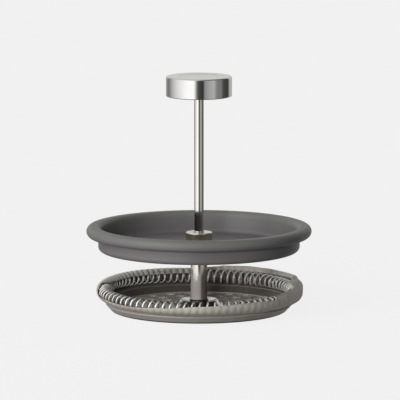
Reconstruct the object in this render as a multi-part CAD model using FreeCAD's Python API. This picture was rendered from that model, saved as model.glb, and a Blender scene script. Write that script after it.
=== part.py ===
"""Plunger and lid of a french press, in millimetres.

+Z is up along the rod. The origin is the centre of the filter's underside, on the rod's axis.
The lid is stored at the bottom of its travel, with its guide sleeve standing on the filter's hub.
"""
import FreeCAD
import Part

import math
import os

AXIS = FreeCAD.Vector(0, 0, 1)
CENTRE = FreeCAD.Vector(0, 0, 0)

# filter stack, from the floor up
sheet = 0.8  # base plate, spring plate and hub cap
mesh_sheet = 0.4
nest_gap = 0.05  # between the nested cones of the stack
foot_radius = 43.6  # where the lip's outer face would meet the floor
lip_radius = 46.9
lip_height = 3.5
base_corner = 1.6
boss_radius = 8.4  # raised middle of the base plate, over the nut's flange
boss_rise = 1.0
boss_slope = 0.4  # how much the boss's upper face draws in from its lower one
lip_edge = 0.39  # just under half the sheet, so the lip ends in a full round
hole_radius = 2.4
hole_rings = [(17.0, 10), (24.2, 15), (31.4, 20), (38.6, 24)]  # ring radius, holes

# coil spring bent into a ring, and the mesh that wraps it
coil_ring_radius = 47.5
coil_radius = 3.5
coil_height = 9.5
coil_wall = 0.2
mesh_coil_gap = 0.1
mesh_top = 12.6
mesh_over_lip = 4.1  # where the mesh's outer face leaves the lip for the coil
mesh_bend_height = 7.25  # where the mesh's underside and its outer wall would meet
mesh_corner = 0.8
mesh_inner_radius = 9.8
eyelet_wall = 0.6
eyelet_crimp = 0.7
eyelet_height = 0.4
plate_eyelet_gap = 1.0  # from the mesh's hole to the spring plate's
flange_height = 5.1  # outer edge of the flange that carries the coil
flange_root = 41.6  # where the spring plate's flat part meets its flange

# hub
hub_foot_radius = 12.3
hub_crest_radius = 9.4
hub_crest = 5.45
hub_floor = 4.6
hub_floor_radius = 5.6
hub_nut_radius = 4.0
hub_nut_flats = 12.0
hub_nut_flange = 0.8
bumper_radius = 4.65
bumper_thickness = 0.8

# rod
rod_radius = 2.4
thread_radius = 2.0
thread_gap = 0.02
running_gap = 0.05
rod_clearance = 0.4  # bores that only clear the rod

# lid
lid_underside = 30.0
lid_floor = 2.4
skirt_radius = 50.4
skirt_corner = 2.4
rim_radius = 56.3
rim_underside = 37.1
rim_tube = 2.8
mouth_radius = 49.2
mouth_roll = 2.8
dish_radius = 47.1
dish_corner = 2.4

# sleeve, its bushes, its nut and its washers
sleeve_radius = 4.2
sleeve_thread_radius = 3.7
sleeve_top = 36.8
collar_radius = 5.6
collar_height = 1.0
washer_thickness = 0.8
top_washer_thickness = 0.5
washer_radius = 6.1
bush_wall = 0.9
bush_length = 8.0
top_bush_wall = 0.6
bush_end_gap = 0.1
bush_lip = 0.7
nut_radius = 6.65
nut_top = 39.4
nut_roof = 2.4
nut_edge = 0.5
knurl_count = 42
knurl_depth = 0.5
knurl_end = 0.5  # plain land below the knurls

# knob
knob_radius = 16.45
knob_underside = 107.7
knob_height = 10.1
knob_wall = 1.0
knob_top_edge = 0.8
knob_bottom_edge = 0.5
knob_dish_radius = 10.0
knob_dish_depth = 0.35
knob_plate_recess = 0.2
knob_plate_gap = 0.05
insert_radius = 4.5
rod_thread_length = 6.0

# levels that follow from the sizes above
mesh_level = sheet
spring_plate_level = mesh_level + mesh_sheet
hub_foot_level = spring_plate_level + sheet
stop_level = hub_floor + bumper_thickness
lid_floor_level = lid_underside + lid_floor
rim_top = rim_underside + 2 * rim_tube
collar_top = lid_underside - washer_thickness
nut_bottom = lid_floor_level + top_washer_thickness
knob_top = knob_underside + knob_height
knob_plate_level = knob_underside + knob_plate_recess
knob_seat = knob_plate_level + knob_wall
lid_hole_radius = sleeve_thread_radius + 0.15
lip_lean = math.atan2(lip_height, lip_radius - foot_radius)


def rounded_wire(corners):
    """Closed outline through (radius, height) or (radius, height, rounding) corners."""
    points = [FreeCAD.Vector(c[0], 0, c[1]) for c in corners]
    rounding = [c[2] if len(c) > 2 else 0.0 for c in corners]
    starts = []
    ends = []
    arcs = []
    for i, corner in enumerate(points):
        if rounding[i] == 0:
            starts.append(corner)
            ends.append(corner)
            arcs.append(None)
            continue
        back = (points[i - 1] - corner).normalize()
        ahead = (points[(i + 1) % len(points)] - corner).normalize()
        half = back.getAngle(ahead) / 2
        reach = rounding[i] / math.tan(half)
        centre = corner + (back + ahead).normalize() * (rounding[i] / math.sin(half))
        starts.append(corner + back * reach)
        ends.append(corner + ahead * reach)
        arcs.append(centre + (corner - centre).normalize() * rounding[i])
    edges = []
    for i, middle in enumerate(arcs):
        if middle is not None:
            edges.append(Part.Arc(starts[i], middle, ends[i]).toShape())
        following = starts[(i + 1) % len(starts)]
        if (following - ends[i]).Length > 1e-6:
            edges.append(Part.LineSegment(ends[i], following).toShape())
    return Part.Wire(edges)


def turned(corners):
    """Solid of revolution about the rod's axis."""
    return Part.Face(rounded_wire(corners)).revolve(CENTRE, AXIS, 360)


def ring(inner, outer, bottom, top, edge=0.0):
    """Plain tube or washer, its four edges rounded by edge."""
    return turned([
        (inner, bottom, edge),
        (outer, bottom, edge),
        (outer, top, edge),
        (inner, top, edge),
    ])


def around(shape, count, first=0.0):
    """Copies of a shape spaced evenly about the rod's axis."""
    copies = []
    for i in range(count):
        copy = shape.copy()
        copy.rotate(CENTRE, AXIS, first + 360.0 * i / count)
        copies.append(copy)
    return copies


def cone_radius(depth, height):
    """Radius at a height on the face that lies parallel to the lip's outer face and this deep inside it."""
    return foot_radius - depth / math.sin(lip_lean) + height / math.tan(lip_lean)


def perforations(bottom, top):
    """Cylinders that cut the flow holes of a plate, each ring turned by half a hole from the last."""
    cutters = []
    for i, (ring_radius, count) in enumerate(hole_rings):
        drill = Part.makeCylinder(hole_radius, top - bottom, FreeCAD.Vector(ring_radius, 0, bottom))
        cutters += around(drill, count, 180.0 / count * (i % 2))
    return cutters


def base_plate():
    """Perforated pan whose lip leans outward, with a raised middle."""
    top = sheet
    lip_across = sheet * math.sin(lip_lean)
    lip_up = sheet * math.cos(lip_lean)
    plate = turned([
        (hub_nut_radius + nest_gap, boss_rise),
        (boss_radius, boss_rise, 0.4),
        (boss_radius + boss_rise, 0, 0.6),
        (foot_radius, 0, base_corner),
        (lip_radius, lip_height, lip_edge),
        (lip_radius - lip_across, lip_height + lip_up, lip_edge),
        (cone_radius(sheet, top), top, base_corner - sheet),
        (boss_radius + boss_rise - boss_slope, top, 0.4),
        (boss_radius - boss_slope, boss_rise + top, 0.6),
        (hub_nut_radius + nest_gap, boss_rise + top),
    ])
    return plate.cut(perforations(-sheet, 2 * sheet))


def hub_nut():
    """Threaded boss that draws the stack together, its hexagon flange under the base plate's middle."""
    corner_radius = hub_nut_flats / 2 / math.cos(math.radians(30))
    bottom = boss_rise - hub_nut_flange
    corners = []
    for i in range(7):
        angle = math.radians(60 * i)
        x = corner_radius * math.cos(angle)
        y = corner_radius * math.sin(angle)
        corners.append(FreeCAD.Vector(x, y, bottom))
    flange = Part.Face(Part.makePolygon(corners)).extrude(AXIS * hub_nut_flange)
    barrel_length = hub_floor - sheet - boss_rise
    barrel = Part.makeCylinder(hub_nut_radius, barrel_length, AXIS * boss_rise)
    bore = Part.makeCylinder(thread_radius + thread_gap, hub_floor)
    return flange.fuse(barrel).cut(bore)


def filter_mesh():
    """Mesh disc that leans up along the lip, passes over it and wraps the outside of the coil."""
    depth = sheet + nest_gap
    wrap_inner = coil_radius + mesh_coil_gap
    wrap_outer = wrap_inner + mesh_sheet
    wall = coil_ring_radius + wrap_outer
    over_radius = cone_radius(depth, mesh_over_lip)
    slope = math.atan2(mesh_bend_height - mesh_over_lip, wall - over_radius)
    bisector = (lip_lean + slope) / 2
    offset = mesh_sheet / math.cos((lip_lean - slope) / 2)
    inner_radius = over_radius - offset * math.sin(bisector)
    inner_height = mesh_over_lip + offset * math.cos(bisector)
    inner_bend = inner_height + (wall - mesh_sheet - inner_radius) * math.tan(slope)
    return turned([
        (mesh_inner_radius, mesh_level),
        (cone_radius(depth, mesh_level), mesh_level, mesh_corner),
        (over_radius, mesh_over_lip),
        (wall, mesh_bend_height, wrap_outer),
        (wall, mesh_top),
        (wall - mesh_sheet, mesh_top),
        (wall - mesh_sheet, inner_bend, wrap_inner),
        (inner_radius, inner_height),
        (cone_radius(depth + mesh_sheet, spring_plate_level), spring_plate_level, mesh_corner - mesh_sheet),
        (mesh_inner_radius, spring_plate_level),
    ])


def mesh_eyelet():
    """Crimped ring that lines the hole in the mesh."""
    return turned([
        (mesh_inner_radius - eyelet_wall, mesh_level),
        (mesh_inner_radius, mesh_level),
        (mesh_inner_radius, spring_plate_level),
        (mesh_inner_radius + eyelet_crimp, spring_plate_level),
        (mesh_inner_radius + eyelet_crimp, spring_plate_level + eyelet_height, 0.15),
        (mesh_inner_radius - eyelet_wall, spring_plate_level + eyelet_height, 0.15),
    ])


def spring_plate():
    """Flat, perforated part of the plate that carries the coil spring."""
    bottom = spring_plate_level
    top = hub_foot_level
    disc = ring(mesh_inner_radius + plate_eyelet_gap, flange_root, bottom, top)
    return disc.cut(perforations(0, 2 * top))


def spring_flange():
    """Flange of the spring plate, which leans out inside the mesh and carries the coil spring."""
    depth = sheet + mesh_sheet + 2 * nest_gap
    tip_radius = cone_radius(depth, flange_height)
    return turned([
        (flange_root, spring_plate_level),
        (cone_radius(depth, spring_plate_level), spring_plate_level, 0.8),
        (tip_radius, flange_height, 0.3),
        (tip_radius - sheet * math.sin(lip_lean), flange_height + sheet * math.cos(lip_lean), 0.3),
        (cone_radius(depth + sheet, hub_foot_level), hub_foot_level, 0.6),
        (flange_root, hub_foot_level),
    ])


def rim_spring():
    """Envelope of the coil's turns, hollow inside."""
    middle = FreeCAD.Vector(0, 0, coil_height)
    outside = Part.makeTorus(coil_ring_radius, coil_radius, middle, AXIS)
    inside = Part.makeTorus(coil_ring_radius, coil_radius - coil_wall, middle, AXIS)
    return outside.cut(inside)


def hub_cap():
    """Pressed cap with a dished top that the rod's shoulder clamps on the spring plate."""
    hole = thread_radius + 0.1
    return turned([
        (hub_foot_radius, hub_foot_level),
        (hub_crest_radius, hub_crest, 0.9),
        (hub_floor_radius, hub_floor, 1.2),
        (hole, hub_floor),
        (hole, hub_floor - sheet),
        (hub_floor_radius - 0.1, hub_floor - sheet, 0.5),
        (hub_crest_radius - 0.35, hub_crest - sheet, 0.3),
        (hub_foot_radius - 1.0, hub_foot_level),
    ])


def rod():
    """Straight rod with a reduced thread at each end."""
    chamfer = 0.4
    bottom = boss_rise - hub_nut_flange + chamfer
    top = knob_seat + rod_thread_length
    return turned([
        (0, bottom),
        (thread_radius - chamfer, bottom),
        (thread_radius, bottom + chamfer),
        (thread_radius, hub_floor),
        (rod_radius, hub_floor),
        (rod_radius, knob_seat),
        (thread_radius, knob_seat),
        (thread_radius, top - chamfer),
        (thread_radius - chamfer, top),
        (0, top),
    ])


def bumper_ring():
    return ring(rod_radius + 0.1, bumper_radius, hub_floor, stop_level, 0.2)


def lid():
    """Shallow round dish with a rolled rim, a flat seat under the rim and a skirt below it."""
    return turned([
        (lid_hole_radius, lid_underside, 0.3),
        (skirt_radius, lid_underside, skirt_corner),
        (skirt_radius, rim_underside, 0.8),
        (rim_radius, rim_underside, rim_tube),
        (rim_radius, rim_top, rim_tube),
        (mouth_radius, rim_top, mouth_roll),
        (dish_radius, lid_floor_level, dish_corner),
        (lid_hole_radius, lid_floor_level, 0.3),
    ])


def guide_sleeve():
    """Tube under the lid: a bush seat at each end, a collar under the lid and a thread through it."""
    bore = rod_radius + rod_clearance
    low_seat = rod_radius + bush_wall + 2 * running_gap
    high_seat = rod_radius + top_bush_wall + 2 * running_gap
    low_seat_bottom = stop_level + bush_lip
    low_seat_top = low_seat_bottom + bush_length + 2 * bush_end_gap
    high_seat_bottom = sleeve_top - bush_length - 2 * bush_end_gap
    return turned([
        (bore, stop_level),
        (sleeve_radius, stop_level, 0.3),
        (sleeve_radius, collar_top - collar_height),
        (collar_radius, collar_top - collar_height, 0.2),
        (collar_radius, collar_top, 0.2),
        (sleeve_thread_radius, collar_top),
        (sleeve_thread_radius, sleeve_top),
        (high_seat, sleeve_top),
        (high_seat, high_seat_bottom),
        (bore, high_seat_bottom),
        (bore, low_seat_top),
        (low_seat, low_seat_top),
        (low_seat, low_seat_bottom),
        (bore, low_seat_bottom),
    ])


def guide_bush_bottom():
    bottom = stop_level + bush_lip + bush_end_gap
    inner = rod_radius + running_gap
    return ring(inner, inner + bush_wall, bottom, bottom + bush_length, 0.15)


def guide_bush_top():
    top = sleeve_top - bush_end_gap
    inner = rod_radius + running_gap
    return ring(inner, inner + top_bush_wall, top - bush_length, top, 0.15)


def lower_washer():
    return ring(lid_hole_radius, collar_radius + 0.3, collar_top, lid_underside, 0.15)


def upper_washer():
    return ring(lid_hole_radius, washer_radius, lid_floor_level, nut_bottom, 0.1)


def knurled_nut():
    """Thumb nut on the sleeve's thread, with straight knurls and a roof over the upper bush."""
    roof = nut_top - nut_roof
    blank = turned([
        (sleeve_thread_radius + thread_gap, nut_bottom),
        (nut_radius, nut_bottom, 0.3),
        (nut_radius, nut_top, nut_edge),
        (rod_radius + rod_clearance, nut_top, 0.3),
        (rod_radius + rod_clearance, roof),
        (sleeve_thread_radius + thread_gap, roof),
    ])
    root = nut_radius - knurl_depth
    half_width = math.pi * nut_radius / knurl_count * 0.9
    groove_bottom = nut_bottom + knurl_end
    corners = [
        FreeCAD.Vector(root, 0, groove_bottom),
        FreeCAD.Vector(nut_radius + 0.1, half_width, groove_bottom),
        FreeCAD.Vector(nut_radius + 0.1, -half_width, groove_bottom),
        FreeCAD.Vector(root, 0, groove_bottom),
    ]
    groove = Part.Face(Part.makePolygon(corners)).extrude(AXIS * (nut_top - nut_edge - groove_bottom))
    return blank.cut(around(groove, knurl_count))


def knob_shell():
    """Drawn cap with a shallow dish in its top, open below."""
    inside_top = knob_top - knob_dish_depth - knob_wall
    return turned([
        (knob_radius - knob_wall, knob_underside),
        (knob_radius, knob_underside, knob_bottom_edge),
        (knob_radius, knob_top, knob_top_edge),
        (knob_dish_radius + 0.8, knob_top, 4.0),
        (knob_dish_radius - 0.8, knob_top - knob_dish_depth, 4.0),
        (0, knob_top - knob_dish_depth),
        (0, inside_top),
        (knob_radius - knob_wall, inside_top, 0.6),
    ])


def knob_base_plate():
    outer = knob_radius - knob_wall - knob_plate_gap
    return ring(rod_radius + 0.1, outer, knob_plate_level, knob_seat, 0.2)


def knob_insert():
    """Threaded boss between the base plate and the roof of the cap."""
    roof = knob_top - knob_dish_depth - knob_wall
    bore_top = knob_seat + rod_thread_length + 0.4
    return turned([
        (thread_radius + thread_gap, knob_seat),
        (insert_radius, knob_seat, 0.3),
        (insert_radius, roof, 0.3),
        (0, roof),
        (0, bore_top),
        (thread_radius + thread_gap, bore_top),
    ])


parts = {
    "knob_shell": knob_shell,
    "knob_base_plate": knob_base_plate,
    "knob_insert": knob_insert,
    "rod": rod,
    "knurled_nut": knurled_nut,
    "upper_washer": upper_washer,
    "lid": lid,
    "lower_washer": lower_washer,
    "guide_sleeve": guide_sleeve,
    "guide_bush_top": guide_bush_top,
    "guide_bush_bottom": guide_bush_bottom,
    "bumper_ring": bumper_ring,
    "hub_cap": hub_cap,
    "hub_nut": hub_nut,
    "spring_plate": spring_plate,
    "spring_flange": spring_flange,
    "rim_spring": rim_spring,
    "mesh_eyelet": mesh_eyelet,
    "filter_mesh": filter_mesh,
    "base_plate": base_plate,
}

os.makedirs("parts", exist_ok=True)
for name, make in parts.items():
    shape = make()
    if not shape.isValid():
        raise ValueError(name + " is not a valid shape")
    shape.exportStep("parts/" + name + ".step")
    print(name, len(shape.Solids), round(shape.Volume, 1))
print("lid travel", round(knob_plate_level - nut_top, 3))
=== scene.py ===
import math

import bpy
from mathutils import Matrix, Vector


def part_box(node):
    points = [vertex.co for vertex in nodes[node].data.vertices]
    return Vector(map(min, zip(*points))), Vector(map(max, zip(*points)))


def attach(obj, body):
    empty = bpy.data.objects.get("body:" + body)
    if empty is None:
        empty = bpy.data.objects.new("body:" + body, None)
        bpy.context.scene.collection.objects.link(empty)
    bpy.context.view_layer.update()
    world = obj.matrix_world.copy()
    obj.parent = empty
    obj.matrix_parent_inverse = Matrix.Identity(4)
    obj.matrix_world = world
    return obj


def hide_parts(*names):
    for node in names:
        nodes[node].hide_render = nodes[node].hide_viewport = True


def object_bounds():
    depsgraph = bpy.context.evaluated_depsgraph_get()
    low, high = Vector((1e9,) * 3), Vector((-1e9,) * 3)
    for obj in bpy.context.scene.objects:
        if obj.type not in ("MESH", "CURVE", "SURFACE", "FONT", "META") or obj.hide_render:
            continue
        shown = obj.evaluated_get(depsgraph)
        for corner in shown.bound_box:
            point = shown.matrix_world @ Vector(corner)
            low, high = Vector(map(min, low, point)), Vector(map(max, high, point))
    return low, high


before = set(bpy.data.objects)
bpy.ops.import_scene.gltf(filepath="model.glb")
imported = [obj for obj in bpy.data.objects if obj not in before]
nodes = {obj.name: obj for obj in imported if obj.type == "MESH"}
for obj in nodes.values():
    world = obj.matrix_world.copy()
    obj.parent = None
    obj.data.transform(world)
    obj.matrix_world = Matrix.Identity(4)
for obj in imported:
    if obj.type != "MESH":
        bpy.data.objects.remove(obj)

# Looks, studio and camera for the lid and plunger of a french press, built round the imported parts.
# Everything is in metres. Z is up along the rod and the camera stands on the -Y side.

mm = 0.001
cadLow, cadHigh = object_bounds()
print("frame loaded:", len(nodes), "parts")


class Value:  # one output socket, so that node maths can be written as plain expressions
    def __init__(self, graph, socket):
        self.graph = graph
        self.socket = socket

    def __add__(self, other):
        return self.graph.math("ADD", self, other)

    def __sub__(self, other):
        return self.graph.math("SUBTRACT", self, other)

    def __mul__(self, other):
        return self.graph.math("MULTIPLY", self, other)

    def __truediv__(self, other):
        return self.graph.math("DIVIDE", self, other)

    def __pow__(self, other):
        return self.graph.math("POWER", self, other)

    def __radd__(self, other):
        return self.graph.math("ADD", other, self)

    def __rsub__(self, other):
        return self.graph.math("SUBTRACT", other, self)

    def __rmul__(self, other):
        return self.graph.math("MULTIPLY", other, self)

    def __rtruediv__(self, other):
        return self.graph.math("DIVIDE", other, self)


class Graph:  # adds nodes to one shader, world or geometry tree
    def __init__(self, tree):
        self.tree = tree

    def node(self, kind, settings=None, inputs=None, output=0):
        made = self.tree.nodes.new(kind)
        for name, setting in (settings or {}).items():
            if name == "stops":
                self.setStops(made.color_ramp, setting)
            elif name == "blend":
                made.color_ramp.interpolation = setting
            else:
                setattr(made, name, setting)
        for name, given in (inputs or {}).items():
            if isinstance(given, Value):
                self.tree.links.new(given.socket, made.inputs[name])
            else:
                made.inputs[name].default_value = given
        return Value(self, made.outputs[output]) if len(made.outputs) else made

    def setStops(self, ramp, stops):
        while len(ramp.elements) > 1:
            ramp.elements.remove(ramp.elements[-1])
        for i, (place, colour) in enumerate(stops):
            stop = ramp.elements[0] if i == 0 else ramp.elements.new(place)
            stop.position = place
            stop.color = (*colour, 1) if hasattr(colour, "__len__") else (colour, colour, colour, 1)

    def math(self, operation, *values):
        return self.node("ShaderNodeMath", {"operation": operation}, dict(enumerate(values)))

    def ramp(self, factor, stops, blend="LINEAR"):
        return self.node("ShaderNodeValToRGB", {"stops": stops, "blend": blend}, {0: factor})

    def between(self, value, low, high):  # 0 at low, 1 at high, smooth in between
        settings = {"interpolation_type": "SMOOTHSTEP"}
        return self.node("ShaderNodeMapRange", settings, {"Value": value, "From Min": low, "From Max": high})

    def mixColour(self, factor, first, second, blend="MIX"):
        settings = {"data_type": "RGBA", "blend_type": blend}
        return self.node("ShaderNodeMix", settings, {0: factor, 6: first, 7: second}, 2)

    def vector(self, x, y, z):
        return self.node("ShaderNodeCombineXYZ", None, {0: x, 1: y, 2: z})

    def split(self, vector):
        return [self.node("ShaderNodeSeparateXYZ", None, {0: vector}, i) for i in range(3)]

    def noise(self, vector, scale, detail=2.0, roughness=0.5):
        inputs = {"Vector": vector, "Scale": scale, "Detail": detail, "Roughness": roughness}
        return self.node("ShaderNodeTexNoise", None, inputs)


class Finish(Graph):  # a material with one Principled shader, worked out from object coordinates
    def __init__(self, name):
        self.material = bpy.data.materials.new(name)
        self.material.use_nodes = True
        super().__init__(self.material.node_tree)
        self.shader = self.tree.nodes["Principled BSDF"]
        self.place = self.node("ShaderNodeTexCoord", None, None, "Object")
        self.x, self.y, self.z = self.split(self.place)
        self.radius = (self.x * self.x + self.y * self.y) ** 0.5
        self.bearing = self.math("ARCTAN2", self.x, -1 * self.y)

    def spun(self, lines, drift):
        # coordinates that change fast across the turning marks of a lathe and slowly along them
        safeRadius = self.radius + 0.01 * mm
        across = (self.radius + self.z) * lines
        return self.vector(self.x / safeRadius * drift, self.y / safeRadius * drift, across)

    def bump(self, height, distance, strength=1.0, normal=None):
        inputs = {"Height": height, "Distance": distance, "Strength": strength}
        if normal is not None:
            inputs["Normal"] = normal
        return self.node("ShaderNodeBump", None, inputs)

    def wear(self, **sockets):
        for name, given in sockets.items():
            label = "Base Color" if name == "colour" else name.capitalize()
            if isinstance(given, Value):
                self.tree.links.new(given.socket, self.shader.inputs[label])
            else:
                self.shader.inputs[label].default_value = given
        return self.material


def dress(finish, *names):
    for name in names:
        for slot in nodes[name].material_slots:
            slot.material = finish


# Turned and polished metal: faint turning marks, soft smudges and a little grime in the colour.
# The foot is less metallic, with a dark side towards +X that is a painted reflection.
def turnedMetal(name, tint, polish, marks, smudge=0.08, shade=0.12, foot=None):
    finish = Finish(name)
    turning = finish.noise(finish.spun(marks, 1.2), 1.0, 3.0)
    fine = finish.noise(finish.spun(marks * 4.5, 3.0), 1.0, 2.0)
    smudges = finish.noise(finish.place, 90.0, 3.0, 0.55)
    grime = finish.between(smudges, 0.35, 0.7) * shade
    colour = finish.mixColour(grime, (*tint, 1), (*[c * 0.62 for c in tint], 1))
    colour = finish.mixColour(turning * 0.10, colour, (*[c * 0.8 for c in tint], 1))
    metallic = 1.0
    if foot:
        lowerPart = finish.between(finish.z, foot["top"], foot["top"] * 0.7)
        # painted reflection: the lower part darkens on its +X side
        side = finish.between(finish.x, *foot["side"]) * foot["shade"]
        colour = finish.mixColour(lowerPart * side, colour, (*foot["tint"], 1))
        metallic = 1.0 - lowerPart * foot["dullness"]
    roughness = polish + (finish.between(smudges, 0.4, 0.75) * smudge + (turning - 0.5) * 0.05)
    normal = finish.bump(turning * 0.6 + fine * 0.4, 0.004 * mm, 0.5)
    return finish.wear(colour=colour, metallic=metallic, roughness=roughness, normal=normal)


print("polished metal")
sleeveFoot = {
    "top": 24.0 * mm,  # height where the duller foot with its painted reflection starts
    "side": (0.3 * mm, 1.6 * mm),  # along X, where the painted dark reflection starts and is full
    # tint: colour of the painted dark reflection on the foot
    "tint": (0.10, 0.075, 0.06),
    "shade": 0.8,
    "dullness": 0.42,
}
metals = {
    "knob": {"tint": (0.66, 0.655, 0.65), "polish": 0.05, "marks": 1500.0, "smudge": 0.05},
    "rod": {"tint": (0.67, 0.655, 0.63), "polish": 0.045, "marks": 2200.0, "smudge": 0.05},
    "nut": {"tint": (0.78, 0.73, 0.62), "polish": 0.20, "marks": 2600.0, "smudge": 0.12},
    "sleeve": {"tint": (0.60, 0.57, 0.54), "polish": 0.06, "marks": 1900.0, "smudge": 0.06,
               "foot": sleeveFoot},
    "hub": {"tint": (0.70, 0.69, 0.67), "polish": 0.17, "marks": 2400.0},
    "insert": {"tint": (0.72, 0.53, 0.27), "polish": 0.26, "marks": 2800.0, "smudge": 0.15},
}
knobSteel = turnedMetal("knobSteel", **metals["knob"])
rodSteel = turnedMetal("rodSteel", **metals["rod"])
nutNickel = turnedMetal("nutNickel", **metals["nut"])
sleeveSteel = turnedMetal("sleeveSteel", **metals["sleeve"])
hubSteel = turnedMetal("hubSteel", **metals["hub"])
insertBrass = turnedMetal("insertBrass", **metals["insert"])
dress(knobSteel, "knob_shell", "knob_base_plate")
dress(rodSteel, "rod")
dress(nutNickel, "knurled_nut")
dress(sleeveSteel, "guide_sleeve")
dress(hubSteel, "hub_cap", "hub_nut")
dress(insertBrass, "knob_insert")


lidLook = {
    "rim": (0.082, 0.084, 0.078),
    "dish": (0.080, 0.076, 0.079),
    "roughness": 0.46,
    "grain": 2600.0,  # size of the fine grain in the coating, per metre
    "ripple": 420.0,
    "cloud": (0.055, 0.053, 0.052),  # slightly darker patches
    "speck": (0.17, 0.165, 0.16),
    "rim depth": (1.5 * mm, 4.5 * mm),  # below the top, where the rim's colour is full and gone
}


def lidGlaze():
    finish = Finish("lidGlaze")
    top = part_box("lid")[1].z
    full, gone = lidLook["rim depth"]
    rimMask = finish.between(finish.z, top - gone, top - full)
    grain = finish.noise(finish.place, lidLook["grain"], 2.0, 0.6)
    ripple = finish.noise(finish.place, lidLook["ripple"], 3.0, 0.5)
    cloud = finish.noise(finish.place, 38.0, 3.0, 0.55)
    colour = finish.mixColour(rimMask, (*lidLook["dish"], 1), (*lidLook["rim"], 1))
    colour = finish.mixColour(finish.between(cloud, 0.3, 0.75) * 0.16, colour, (*lidLook["cloud"], 1))
    speck = finish.between(grain, 0.66, 0.8)
    colour = finish.mixColour(speck * 0.22, colour, (*lidLook["speck"], 1))
    roughness = lidLook["roughness"] + ((cloud - 0.5) * 0.10 + (grain - 0.5) * 0.16)
    normal = finish.bump(ripple * 0.75 + grain * 0.25, 0.02 * mm, 0.35)
    return finish.wear(colour=colour, roughness=roughness, normal=normal)


print("lid coating")
dress(lidGlaze(), "lid")


def blackSilicone():
    finish = Finish("blackSilicone")
    grain = finish.noise(finish.place, 3800.0, 2.0, 0.6)
    dust = finish.noise(finish.place, 900.0, 3.0, 0.6)
    dusty = finish.between(dust, 0.55, 0.8) * 0.35
    colour = finish.mixColour(dusty, (0.012, 0.012, 0.012, 1), (0.07, 0.065, 0.06, 1))
    roughness = 0.42 + (dust - 0.5) * 0.2
    return finish.wear(colour=colour, roughness=roughness, normal=finish.bump(grain, 0.02 * mm, 0.5))


def bushAcetal():
    finish = Finish("bushAcetal")
    marks = finish.noise(finish.spun(2600.0, 1.5), 1.0, 2.0)
    cloud = finish.noise(finish.place, 220.0, 3.0)
    colour = finish.mixColour(cloud * 0.35, (0.78, 0.76, 0.71, 1), (0.62, 0.58, 0.5, 1))
    normal = finish.bump(marks, 0.01 * mm, 0.6)
    return finish.wear(colour=colour, roughness=0.34 + marks * 0.12, normal=normal)


print("washers and bushes")
dress(blackSilicone(), "upper_washer", "lower_washer", "bumper_ring")
dress(bushAcetal(), "guide_bush_top", "guide_bush_bottom")


# Pressed sheet: rolling marks in one direction, shallow waves from the press and grime. The dark wall of the
# flange and the dark line at the foot stand in for shadow.
plateLook = {
    "clean": (0.85, 0.80, 0.74),
    "grimy": (0.36, 0.335, 0.30),
    "wall": (0.115, 0.098, 0.082),
    "lip": (0.35, 0.33, 0.305),
    "foot": (0.06, 0.055, 0.05),
    "slope": 0.943,  # run over rise of the lip and the flange
    # radius at the underside's level of each leaning face, where a mask starts and is full
    "lip cone": (42.7 * mm, 43.2 * mm),
    "wall cone": (40.1 * mm, 40.6 * mm),
    "past the wall": (41.9 * mm, 42.3 * mm),
    "wall height": (2.05 * mm, 5.6 * mm),
    "foot height": (0.6 * mm, 1.1 * mm),
    "rolling": 2600.0,  # lines per metre, across the rolling direction
    "metallic": 0.62,
}


def plateSteel():
    finish = Finish("plateSteel")
    rolling = plateLook["rolling"]
    along = finish.vector(finish.x * 160.0, finish.y * rolling, finish.z * rolling)
    rolled = finish.noise(along, 1.0, 3.0)
    waves = finish.noise(finish.place, 260.0, 3.0, 0.55)
    stain = finish.noise(finish.place, 120.0, 4.0, 0.6)
    cone = finish.radius - finish.z * plateLook["slope"]  # constant along the faces that lean like the lip
    lip = finish.between(cone, *plateLook["lip cone"])
    low, high = plateLook["wall height"]
    past = finish.between(cone, *plateLook["past the wall"])
    wall = finish.between(cone, *plateLook["wall cone"]) * (1 - past)
    wall = wall * finish.between(finish.z, low, low + 0.45 * mm)
    wall = wall * finish.between(finish.z, high, high - 0.4 * mm)
    full, gone = plateLook["foot height"]
    foot = lip * finish.between(finish.z, gone, full)
    grime = finish.between(stain, 0.35, 0.7) * 0.5
    colour = finish.mixColour(grime, (*plateLook["clean"], 1), (*plateLook["grimy"], 1))
    colour = finish.mixColour(wall * 0.92, colour, (*plateLook["wall"], 1))
    colour = finish.mixColour(lip, colour, (*plateLook["lip"], 1))
    colour = finish.mixColour(foot * 0.9, colour, (*plateLook["foot"], 1))
    smear = finish.between(stain, 0.4, 0.75) * 0.14
    roughness = 0.17 + (smear + (rolled - 0.5) * 0.06) + lip * 0.30 + wall * 0.2
    normal = finish.bump(waves, 0.22 * mm, 0.8)
    normal = finish.bump(rolled, 0.004 * mm, 0.6, normal)
    return finish.wear(colour=colour, metallic=plateLook["metallic"], roughness=roughness, normal=normal)


print("filter plates")
plateFinish = plateSteel()
dress(plateFinish, "base_plate", "spring_plate", "spring_flange", "mesh_eyelet")


# Drawn wire. The dark inner half of the turns towards -Y and the dull end at -X stand in for reflections.
wireLook = {
    "bright": (0.94, 0.92, 0.89),
    "drawn": (0.60, 0.56, 0.50),
    "inner half": (0.16, 0.15, 0.135),
    "dull end": (0.26, 0.245, 0.22),
    "inner radius": (47.2 * mm, 48.6 * mm),  # where the dark half is full and gone
    "dark side": (4.0 * mm, -16.0 * mm),  # along Y
    "dull side": (-34.0 * mm, -44.0 * mm),  # along X
    "metallic": 0.72,
}


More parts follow.
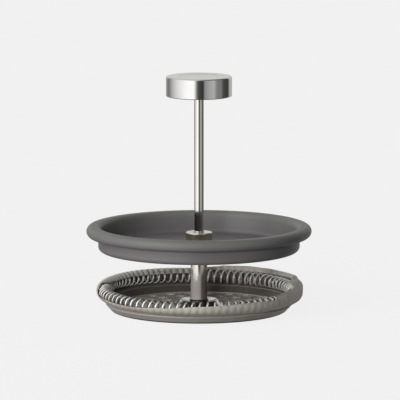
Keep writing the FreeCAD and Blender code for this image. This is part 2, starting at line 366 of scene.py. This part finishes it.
def springWire():
    finish = Finish("springWire")
    draw = finish.noise(finish.place, 1400.0, 3.0, 0.6)
    marks = finish.between(draw, 0.4, 0.75) * 0.2
    colour = finish.mixColour(marks, (*wireLook["bright"], 1), (*wireLook["drawn"], 1))
    full, gone = wireLook["inner radius"]
    inner = finish.between(finish.radius, gone, full) * finish.between(finish.y, *wireLook["dark side"])
    colour = finish.mixColour(inner * 0.85, colour, (*wireLook["inner half"], 1))
    end = finish.between(finish.x, *wireLook["dull side"])
    colour = finish.mixColour(end * 0.5, colour, (*wireLook["dull end"], 1))
    roughness = 0.18 + draw * 0.12
    normal = finish.bump(draw, 0.01 * mm, 0.4)
    return finish.wear(colour=colour, metallic=wireLook["metallic"], roughness=roughness, normal=normal)


weave = {
    "pitch": 0.42 * mm,  # between two neighbouring wires of the cloth
    "wire": (0.51, 0.475, 0.43),
    # the gap colour also serves as painted shade in the valleys between the ridges
    "gap": (0.13, 0.12, 0.10),
    "stain": (0.37, 0.355, 0.315),
    "mottle": (0.30, 0.285, 0.25),
    "far side": (0.92, 0.90, 0.84),  # paler towards +Y, in place of light from behind
    "far reach": (-2.0 * mm, 18.0 * mm),  # along Y
    "inside": (0.10, 0.088, 0.075),  # dark low down on the inner face, in place of shadow
    "inside height": (11.9 * mm, 12.9 * mm),
    "metallic": 0.55,
}


def wovenSteel():
    finish = Finish("wovenSteel")
    across = finish.node("ShaderNodeUVMap", {"uv_map": "flatCloth"})
    u, v, _ = finish.split(across)
    warp = u / weave["pitch"]
    weft = v / weave["pitch"]
    turn = math.pi * 2
    warpWire = finish.math("COSINE", warp * turn) * 0.5 + 0.5
    weftWire = finish.math("COSINE", weft * turn) * 0.5 + 0.5
    parity = finish.math("COSINE", (finish.math("ROUND", warp) + finish.math("ROUND", weft)) * math.pi)
    over = parity * 0.5 + 0.5
    height = finish.math("MAXIMUM", warpWire * (0.55 + over * 0.45), weftWire * (1.0 - over * 0.45))
    gap = finish.between(height, 0.42, 0.12)
    mottle = finish.noise(finish.place, 650.0, 3.0, 0.65)
    patch = finish.noise(finish.place, 110.0, 3.0, 0.55)
    dip = finish.node("ShaderNodeAttribute", {"attribute_name": "dip"}, None, 2)
    inner = finish.node("ShaderNodeAttribute", {"attribute_name": "innerSide"}, None, 2)
    full, gone = weave["inside height"]
    hidden = inner * finish.between(finish.z, gone, full)
    far = finish.between(finish.y, *weave["far reach"])
    patches = finish.between(patch, 0.35, 0.75) * 0.45
    colour = finish.mixColour(patches, (*weave["wire"], 1), (*weave["stain"], 1))
    colour = finish.mixColour(finish.between(mottle, 0.45, 0.75) * 0.45, colour, (*weave["mottle"], 1))
    # the weave's gaps, and as painted shade the valleys between the ridges, take the dark gap colour
    colour = finish.mixColour(finish.math("MAXIMUM", gap, dip * 0.75), colour, (*weave["gap"], 1))
    colour = finish.mixColour(far * (1 - dip) * 0.6, colour, (*weave["far side"], 1))
    colour = finish.mixColour(hidden * 0.85, colour, (*weave["inside"], 1))
    roughness = 0.36 + mottle * 0.16 + gap * 0.2
    normal = finish.bump(height, 0.10 * mm, 0.8)
    return finish.wear(colour=colour, metallic=weave["metallic"], roughness=roughness, normal=normal)


# A geometry tree with named inputs for its sizes, grown once into a plain mesh that rides on a body.
class Pattern(Graph):
    def __init__(self, name, sizes):
        super().__init__(bpy.data.node_groups.new(name, "GeometryNodeTree"))
        self.tree.is_modifier = True
        self.sizes = sizes
        for label, size in sizes.items():
            kind = "NodeSocketInt" if isinstance(size, int) else "NodeSocketFloat"
            self.tree.interface.new_socket(label, in_out="INPUT", socket_type=kind)
        self.tree.interface.new_socket("Geometry", in_out="OUTPUT", socket_type="NodeSocketGeometry")
        self.source = self.tree.nodes.new("NodeGroupInput")
        self.sink = self.tree.nodes.new("NodeGroupOutput")

    def size(self, label):
        return Value(self, self.source.outputs[label])

    def sizeOf(self, *labels):
        return [self.size(label) for label in labels]

    def join(self, *parts):
        made = self.tree.nodes.new("GeometryNodeJoinGeometry")
        for part in reversed(parts):
            self.tree.links.new(part.socket, made.inputs[0])
        return Value(self, made.outputs[0])

    def finishWith(self, geometry, material):
        real = self.node("GeometryNodeRealizeInstances", None, {"Geometry": geometry})
        coated = self.node("GeometryNodeSetMaterial", None, {"Geometry": real, "Material": material})
        self.tree.links.new(coated.socket, self.sink.inputs[0])

    def grow(self, name):
        piece = bpy.data.objects.new(name, bpy.data.meshes.new(name + "Start"))
        bpy.context.scene.collection.objects.link(piece)
        modifier = piece.modifiers.new("grow", "NODES")
        modifier.node_group = self.tree
        for socket in self.tree.interface.items_tree:
            if socket.in_out == "INPUT":
                modifier[socket.identifier] = self.sizes[socket.name]
        grown = piece.evaluated_get(bpy.context.evaluated_depsgraph_get())
        mesh = bpy.data.meshes.new_from_object(grown)
        piece.modifiers.remove(modifier)
        piece.data = mesh
        print(name, "has", sum(len(face.vertices) - 2 for face in mesh.polygons), "triangles")
        return piece


# The coil spring bent into a ring round the filter. Its turns are one closed helix.
# The ring sits a little loose in its cloth: it is pushed towards +X and lifted at -X, and towards -Y its
# turns lean over, which makes the ring lower and flatter there.
springLow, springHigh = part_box("rim_spring")
coil = {
    "Turns": 86,
    "Steps per turn": 26,
    "Ring radius": (springHigh.x - (springHigh.z - springLow.z) / 2),
    "Wire radius": 0.46 * mm,
    "Coil radius": (springHigh.z - springLow.z) / 2 - 0.46 * mm,
    "Height": (springHigh.z + springLow.z) / 2,
    "Push": 0.35 * mm,
    "Left lift": 0.8 * mm,
    "Front drop": 0.9 * mm,
    "Front squat": 0.2,
    "Unevenness": 0.16,
    "Seed": 7.0,
}


def rimSpring():
    pattern = Pattern("rimSpringPattern", coil)
    turns, steps, ring, wire, tube, height, push, lift, drop, squat, unevenness, seed = pattern.sizeOf(*coil)
    count = turns * steps
    circle = pattern.node(
        "GeometryNodeCurvePrimitiveCircle", None, {"Resolution": count, "Radius": ring}, "Curve")
    index = pattern.node("GeometryNodeInputIndex")
    around = index / count * (2 * math.pi)
    sideways = pattern.math("SINE", around)
    forward = pattern.math("COSINE", around)
    wander = pattern.vector(forward, sideways, seed)
    drift = (pattern.noise(wander, 5.0, 2.0) - 0.5) * (unevenness * 2 * math.pi * 2)
    turn = around * turns + drift
    sway = (pattern.noise(wander, 17.0, 1.0) - 0.5) * (unevenness * 0.6 * mm)
    reach = ring + sideways * push + pattern.math("COSINE", turn) * tube + sway
    front = forward * 0.5 + 0.5
    rise = height - front * drop - pattern.math("MINIMUM", sideways, 0.0) * (1 - front) * (2 * lift)
    rise = rise + pattern.math("SINE", turn) * tube * (1 - front * squat)
    place = pattern.vector(reach * sideways, -1 * reach * forward, rise)
    helix = pattern.node("GeometryNodeSetPosition", None, {"Geometry": circle, "Position": place})
    section = pattern.node(
        "GeometryNodeCurvePrimitiveCircle", None, {"Resolution": 7, "Radius": wire}, "Curve")
    tubeMesh = pattern.node("GeometryNodeCurveToMesh", None, {"Curve": helix, "Profile Curve": section})
    smooth = pattern.node("GeometryNodeSetShadeSmooth", None, {"Geometry": tubeMesh, "Shade Smooth": True})
    pattern.finishWith(smooth, springWire())
    return pattern.grow("rimSpringCoil")


print("rim spring")
spring = rimSpring()
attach(spring, "plunger")
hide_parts("rim_spring")


# The filter cloth: a flat disc between the plates that turns up inside the lip, leans out to the coil's
# underside and follows the coil round. Past the coil it may stand up and fold back over.
clothSection = {
    "underside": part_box("filter_mesh")[0].z + 0.2 * mm,
    "corner": 42.67 * mm,  # radius where the flat disc starts to lean up along the lip
    "bend": 1.0 * mm,
    "lean": 46.7,  # degrees, the slope of the lip
    "run": 4.0 * mm,
    "clearance": 0.25 * mm,  # between the cloth and the coil's wire
}
cloth = {
    "Columns": 1040,
    "Rows": 46,
    "Turns": float(coil["Turns"]),
    "Sheet": 0.26 * mm,
    "Hole radius": 9.85 * mm,
    "Ridge": 0.26 * mm,  # how far the coil's turns stand out in the cloth
    "Fold radius": 1.5 * mm,
    "Slack": 0.4 * mm,  # towards -Y the cloth lies this much closer and further out
    "Ragged": 0.16,  # radians round the coil by which the cut edge wanders
    "Seed": 3.0,
}
# by compass bearing: how far round the coil the cloth clings to it, in degrees up from the outermost point
cling = [(-180, 146), (-150, 152), (-112, 148), (-95, 130), (-86, 50), (-78, -20), (-67, -20), (-44, -26),
         (-22, -8), (0, 14), (27, 28), (42, 26), (56, 14), (64, 0), (104, -2), (168, 4), (176, 60),
         (180, 146)]
# the straight run past the coil, the turn of the fold that follows it, and the run past the fold
standing = [(-180, 0.2), (-76, 0.15), (46, 0.15), (64, 2.2), (102, 3.0), (112, 4.8), (150, 5.2), (166, 4.8),
            (176, 2.0), (180, 0.2)]
folding = [(-180, 0), (46, 0), (58, 130), (102, 130), (111, 14), (170, 0), (180, 0)]
falling = [(-180, 0.1), (46, 0.1), (60, 3.4), (82, 4.2), (101, 3.2), (110, 0.1), (180, 0.1)]


def bearingStops(points, lowest, highest):
    return [((bearing + 180) / 360, (height - lowest) / (highest - lowest)) for bearing, height in points]


def byBearing(pattern, share, points, lowest, highest, unit):
    # the list's value at this share of the way round, with the list's own unit turned into metres or radians
    eased = pattern.ramp(share, bearingStops(points, lowest, highest), "EASE")
    return eased * ((highest - lowest) * unit) + lowest * unit


def bend(pattern, heading, turn, radius):
    # how far a sheet with this heading moves while it bends to its left, as radius and height
    ahead = heading + turn
    across = (pattern.math("SINE", ahead) - pattern.math("SINE", heading)) * radius
    up = (pattern.math("COSINE", heading) - pattern.math("COSINE", ahead)) * radius
    return across, up


def filterCloth():
    pattern = Pattern("filterClothPattern", cloth)
    columns, rows, turns, sheet, hole, ridge, fold, slack, rough, seed = pattern.sizeOf(*cloth)
    grid = pattern.node(
        "GeometryNodeMeshGrid", None,
        {"Size X": 1.0, "Size Y": 1.0, "Vertices X": columns, "Vertices Y": rows}, "Mesh")
    across, along, _ = pattern.split(pattern.node("GeometryNodeInputPosition"))
    share = across + 0.5
    row = along + 0.5
    around = share * (2 * math.pi) - math.pi
    sideways = pattern.math("SINE", around)
    forward = pattern.math("COSINE", around)
    wander = pattern.vector(forward, sideways, seed)
    ragged = pattern.noise(wander, 9.0, 3.0) - 0.5

    def limit(value, low, high):
        return pattern.math("MINIMUM", pattern.math("MAXIMUM", value, low), high)

    # the fixed part of the section, as straight runs and bends (radius, degrees), from the hole to the lip
    flat = clothSection["corner"] - cloth["Hole radius"]
    lip = ("bend", clothSection["bend"], clothSection["lean"])
    runs = [("run", flat), lip, ("run", clothSection["run"])]
    lengths = [run[1] if run[0] == "run" else run[1] * math.radians(run[2]) for run in runs]
    fixedLength = sum(lengths)
    split = 0.34  # share of the rows spent on the fixed part
    early = pattern.math("MINIMUM", row / split, 1.0)
    late = pattern.math("MAXIMUM", (row - split) / (1 - split), 0.0)
    travelled = fixedLength * (1 - pattern.math("POWER", 1 - early, 3.0))
    lipReach, lipRise = cloth["Hole radius"], clothSection["underside"]
    reach, rise = hole, lipRise
    heading, start = 0.0, 0.0
    for run, length in zip(runs, lengths):
        gone = limit(travelled - start, 0.0, length)
        if run[0] == "run":
            reach = reach + gone * math.cos(heading)
            rise = rise + gone * math.sin(heading)
            lipReach += length * math.cos(heading)
            lipRise += length * math.sin(heading)
        else:
            ahead = heading + math.radians(run[2])
            reach = reach + (pattern.math("SINE", gone / run[1] + heading) - math.sin(heading)) * run[1]
            rise = rise - (pattern.math("COSINE", gone / run[1] + heading) - math.cos(heading)) * run[1]
            lipReach += run[1] * (math.sin(ahead) - math.sin(heading))
            lipRise += run[1] * (math.cos(heading) - math.cos(ahead))
            heading = ahead
        start += length

    # the coil as the cloth meets it, and the straight run from the lip that just touches it
    front = forward * 0.5 + 0.5
    ringReach = coil["Ring radius"] + sideways * coil["Push"] + front * slack
    ringRise = coil["Height"] - front * coil["Front drop"]
    ringRise = ringRise - pattern.math("MINIMUM", sideways, 0.0) * (1 - front) * (2 * coil["Left lift"])
    wrapRadius = coil["Coil radius"] + coil["Wire radius"] + clothSection["clearance"] - front * slack
    toRing, upRing = ringReach - lipReach, ringRise - lipRise
    apart = (toRing * toRing + upRing * upRing) ** 0.5
    slope = pattern.math("ARCTAN2", upRing, toRing) - pattern.math("ARCSINE", wrapRadius / apart)
    lead = (apart * apart - wrapRadius * wrapRadius) ** 0.5
    touch = slope - math.pi / 2

    degree = math.radians(1)
    clingEnd = byBearing(pattern, share, cling, -40, 180, degree) + ragged * rough
    standLength = byBearing(pattern, share, standing, 0, 8, mm)
    foldTurn = byBearing(pattern, share, folding, 0, 180, degree)
    fallLength = byBearing(pattern, share, falling, 0, 8, mm)
    clingLength = (clingEnd - touch) * wrapRadius
    foldLength = foldTurn * fold
    gone = late * (lead + clingLength + standLength + foldLength + fallLength)
    led = limit(gone, 0.0, lead)
    clung = limit(gone - lead, 0.0, clingLength)
    stood = limit(gone - lead - clingLength, 0.0, standLength)
    folded = limit(gone - lead - clingLength - standLength, 0.0, foldLength)
    fallen = limit(gone - lead - clingLength - standLength - foldLength, 0.0, fallLength)

    clingTurn = clung / wrapRadius
    clingAcross, clingUp = bend(pattern, slope, clingTurn, wrapRadius)
    lean = slope + clingTurn
    foldAcross, foldUp = bend(pattern, lean, folded / fold, fold)
    last = lean + folded / fold
    outward = led * pattern.math("COSINE", slope) + clingAcross + stood * pattern.math("COSINE", lean)
    outward = outward + foldAcross + fallen * pattern.math("COSINE", last)
    upward = led * pattern.math("SINE", slope) + clingUp + stood * pattern.math("SINE", lean)
    upward = upward + foldUp + fallen * pattern.math("SINE", last)

    # the coil's turns show through as ridges, which slant with the turns
    press = pattern.between(gone, lead * 0.5, lead + 1.5 * mm)
    pleat = pattern.math("ABSOLUTE", pattern.math("SINE", (around * turns - touch - clingTurn) * 0.5))
    bulge = pleat * press * ridge * (0.7 + pattern.between(clingTurn, 1.6, 3.0) * 0.4)
    # painted shade for the valleys between the ridges, stored on the points for the cloth's colour
    dip = (1 - pleat) * press * (0.25 + pattern.between(clingTurn, 1.6, 2.6) * 0.75)
    reach = reach + outward + bulge * pattern.math("SINE", last)
    rise = rise + upward - bulge * pattern.math("COSINE", last)
    place = pattern.vector(reach * sideways, -1 * reach * forward, rise)
    cut = hole + travelled + gone
    flatPlace = pattern.vector(cut * sideways, cut * forward, 0.0)
    stored = pattern.node(
        "GeometryNodeStoreNamedAttribute", {"data_type": "FLOAT2", "domain": "CORNER"},
        {"Geometry": grid, "Name": "flatCloth", "Value": flatPlace})
    marked = pattern.node(
        "GeometryNodeStoreNamedAttribute", {"data_type": "FLOAT", "domain": "POINT"},
        {"Geometry": stored, "Name": "dip", "Value": dip})
    bent = pattern.node("GeometryNodeSetPosition", None, {"Geometry": marked, "Position": place})
    closed = pattern.node("GeometryNodeMergeByDistance", None, {"Geometry": bent, "Distance": 0.001 * mm})
    raised = pattern.node(
        "GeometryNodeExtrudeMesh", {"mode": "FACES"},
        {"Mesh": closed, "Offset Scale": sheet, "Individual": False})
    under = pattern.node("GeometryNodeFlipFaces", None, {"Mesh": closed})
    lined = pattern.node(
        "GeometryNodeStoreNamedAttribute", {"data_type": "FLOAT", "domain": "FACE"},
        {"Geometry": under, "Name": "innerSide", "Value": 1.0})
    both = pattern.node(
        "GeometryNodeMergeByDistance", None,
        {"Geometry": pattern.join(raised, lined), "Distance": 0.001 * mm})
    smooth = pattern.node("GeometryNodeSetShadeSmooth", None, {"Geometry": both, "Shade Smooth": True})
    pattern.finishWith(smooth, wovenSteel())
    return pattern.grow("filterCloth")


print("filter cloth")
clothPiece = filterCloth()
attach(clothPiece, "plunger")
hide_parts("filter_mesh")


# Studio: pale walls seen past the object, soft panels and dark gaps seen in the polished metal.
studio = {
    "backdrop": (0.880, 0.880, 0.880),
    # brightness by compass bearing in degrees from the camera, clockwise seen from above
    "panels": [
        (-180, 0.52), (-150, 0.36), (-137, 0.25), (-126, 0.30), (-114, 0.52), (-97, 0.82), (-78, 1.10),
        (-57, 1.38), (-38, 1.55), (-19, 1.55), (-13, 1.00), (-8, 0.30), (-2, 0.10), (12, 0.05),
        (16, 0.08), (20, 0.38), (36, 0.55), (54, 0.64), (62, 0.40), (68, 0.30), (84, 0.27),
        (94, 0.10), (119, 0.05), (128, 0.22), (135, 0.60), (160, 0.54), (180, 0.52)],
    "overhead": [
        (-180, 0.5), (-120, 0.9), (-60, 1.1), (-10, 0.7), (30, 0.25), (100, 0.12), (150, 0.25), (180, 0.5)],
    "wall": 0.70,  # the bright wall behind the object, seen in surfaces that face up
    "lamps": {
        "keyPanel": {"bearing": -50, "elevation": 35, "distance": 1.6, "size": 0.9, "watts": 16.0},
        "lowPanel": {"bearing": -46, "elevation": 2, "distance": 1.2, "size": 0.2, "watts": 5.4},
        # this one shines under the lid, into the filter
        "gapPanel": {"bearing": -12, "elevation": 9, "distance": 1.2, "size": 0.25, "watts": 8.0},
    },
}


def studioWorld():
    world = bpy.data.worlds.new("studioWorld")
    world.use_nodes = True
    bpy.context.scene.world = world
    world.node_tree.nodes.clear()
    graph = Graph(world.node_tree)
    direction = graph.node("ShaderNodeTexCoord", None, None, "Generated")
    x, y, z = graph.split(direction)
    bearing = graph.math("ARCTAN2", x, -1 * y) / (2 * math.pi) + 0.5
    panels = graph.ramp(bearing, bearingStops(studio["panels"], 0, 2)) * 2.0
    behind = graph.between(graph.math("ABSOLUTE", bearing - 0.5), 0.36, 0.40)
    raised = graph.between(z, -0.02, 0.06)
    light = panels + (studio["wall"] - panels) * (behind * raised)
    above = graph.between(z, 0.35, 0.75)
    overhead = graph.ramp(bearing, bearingStops(studio["overhead"], 0, 2)) * 2.0
    light = light + (overhead - light) * above
    below = graph.between(z, -0.3, -0.8)
    light = light * (1 - below * 0.65)
    seen = graph.node("ShaderNodeLightPath", None, None, "Is Camera Ray")
    lighting = graph.node("ShaderNodeCombineColor", None, {0: light, 1: light, 2: light * 0.985})
    colour = graph.mixColour(seen, lighting, (*studio["backdrop"], 1))
    background = graph.node("ShaderNodeBackground", None, {"Color": colour})
    graph.node("ShaderNodeOutputWorld", None, {"Surface": background})


def paleFloor():
    radius, ring = 1.6, 96
    points = [(radius * math.cos(2 * math.pi * i / ring), radius * math.sin(2 * math.pi * i / ring), 0.0)
              for i in range(ring)]
    mesh = bpy.data.meshes.new("paleFloor")
    mesh.from_pydata(points, [], [list(range(ring))])
    floor = bpy.data.objects.new("paleFloor", mesh)
    floor.location.z = cadLow.z - 0.02 * mm
    bpy.context.scene.collection.objects.link(floor)
    finish = Finish("paleFloorPaint")
    finish.tree.nodes.remove(finish.shader)
    glow = finish.node("ShaderNodeEmission", None, {"Color": (*studio["backdrop"], 1), "Strength": 1.0})
    paint = finish.node("ShaderNodeBsdfDiffuse", None, {"Color": (0.80, 0.80, 0.80, 1)})
    clear = finish.node("ShaderNodeBsdfTransparent")
    fade = finish.between(finish.radius, 0.35, 0.06) * 0.04
    top = finish.node("ShaderNodeMixShader", None, {0: fade, 1: glow, 2: paint})
    below = finish.node("ShaderNodeNewGeometry", None, None, "Backfacing")
    both = finish.node("ShaderNodeMixShader", None, {0: below, 1: top, 2: clear})
    finish.tree.links.new(both.socket, finish.tree.nodes["Material Output"].inputs["Surface"])
    mesh.materials.append(finish.material)
    floor.visible_glossy = False
    floor.visible_diffuse = False


def softLight(name, bearing, elevation, distance, size, watts):
    lamp = bpy.data.lights.new(name, "AREA")
    lamp.shape = "DISK"
    lamp.size = size
    lamp.energy = watts
    light = bpy.data.objects.new(name, lamp)
    around, up = math.radians(bearing), math.radians(elevation)
    away = Vector((math.sin(around) * math.cos(up), -math.cos(around) * math.cos(up), math.sin(up)))
    middle = (cadLow + cadHigh) / 2
    light.location = middle + away * distance
    light.rotation_euler = away.to_track_quat("Z", "Y").to_euler()
    light.visible_glossy = False
    bpy.context.scene.collection.objects.link(light)


print("studio")
studioWorld()
paleFloor()
for lampName, lampSizes in studio["lamps"].items():
    softLight(lampName, **lampSizes)


# Camera: a long lens a little above the lid, far enough back to flatten the ellipses.
view = {
    "lens": 450.0,
    "sensor": 36.0,
    "distance": 2.5,
    "height": 39.6 * mm,  # of the point it circles
    "shift": 0.5 * mm,
    "elevation": 8.45,
    "pitch": 8.09,
}


def camera():
    made = bpy.data.cameras.new("camera")
    made.lens = view["lens"]
    made.sensor_width = view["sensor"]
    made.clip_start, made.clip_end = 0.1, 20.0
    holder = bpy.data.objects.new("camera", made)
    up = math.radians(view["elevation"])
    back, rise = view["distance"] * math.cos(up), view["distance"] * math.sin(up)
    holder.location = (view["shift"], -back, view["height"] + rise)
    holder.rotation_euler = (math.radians(90 - view["pitch"]), 0, 0)
    bpy.context.scene.collection.objects.link(holder)
    bpy.context.scene.camera = holder


print("camera")
camera()
bpy.context.scene.view_settings.view_transform = "Standard"
